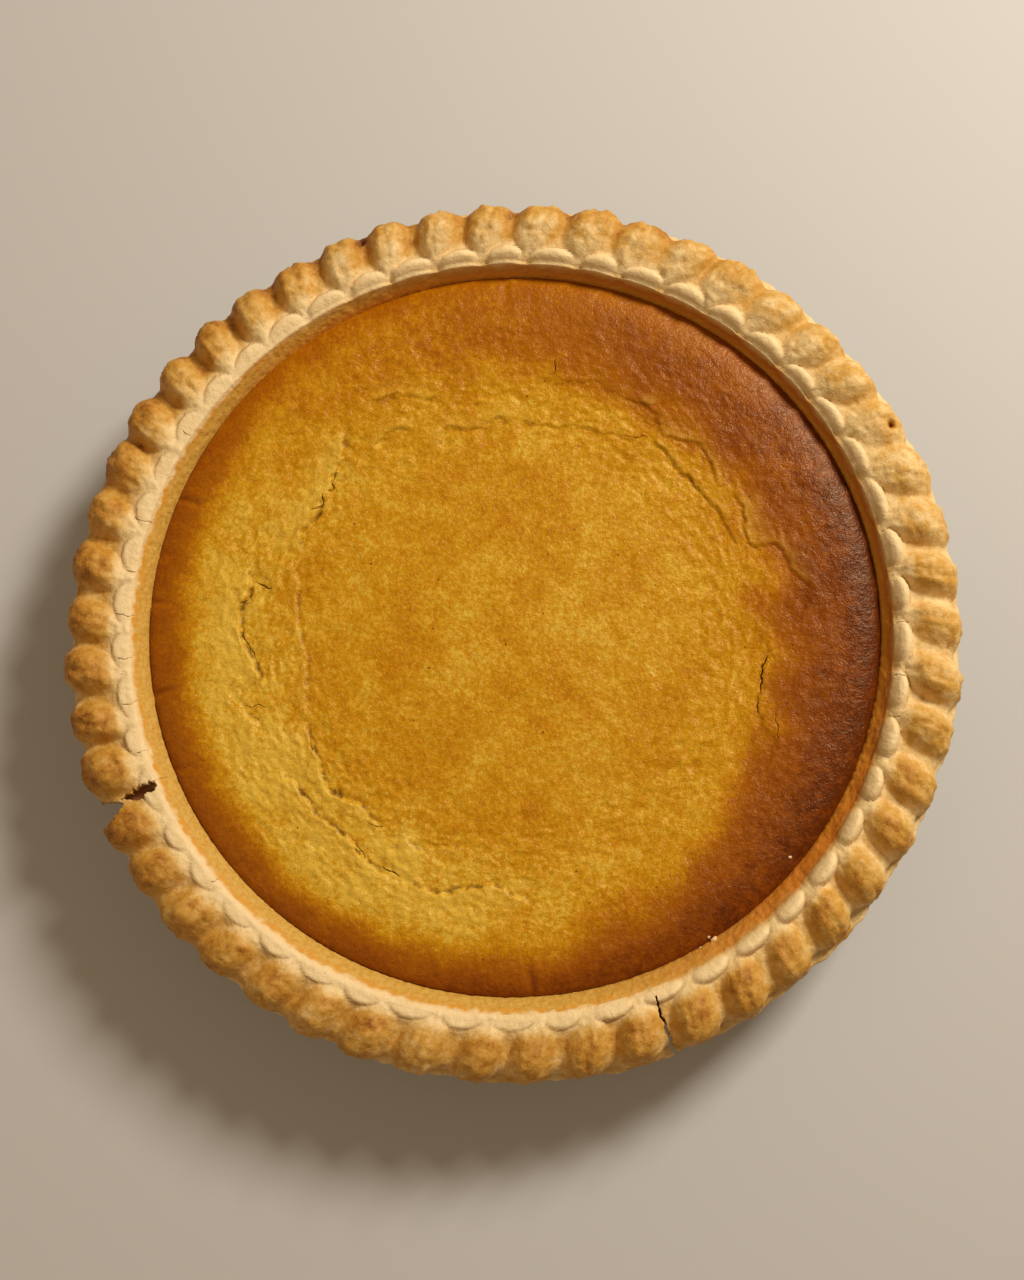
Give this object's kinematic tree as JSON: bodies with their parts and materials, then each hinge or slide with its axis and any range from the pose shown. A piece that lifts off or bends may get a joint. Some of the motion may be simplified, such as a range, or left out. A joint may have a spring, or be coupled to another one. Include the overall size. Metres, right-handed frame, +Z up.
{
  "type": "pumpkin pie",
  "caption": "Whole baked pumpkin pie: fluted pastry shell with a cracked rim, level custard filling with a sunken middle, in a plain tapered tin.",
  "frame": {"origin": "centre of the tin's base, on the surface that the pie stands on", "axes": "+Z up; +X and +Y lie in the table's plane, and the wide crack in the rim lies at about 204.7 degrees from +X, counted towards +Y"},
  "size_m": [0.2589, 0.2581, 0.041],
  "materials": {
    "tin": "pressed foil, satin",
    "pastry": "stands for baked shortcrust, matt, browned on the lobes",
    "filling": "stands for baked custard, satin, glossy and brown at its edge"
  },
  "bodies": {
    "root": {"tin": "tin", "pastry": "pastry", "filling": "filling"}
  },
  "joints": []
}
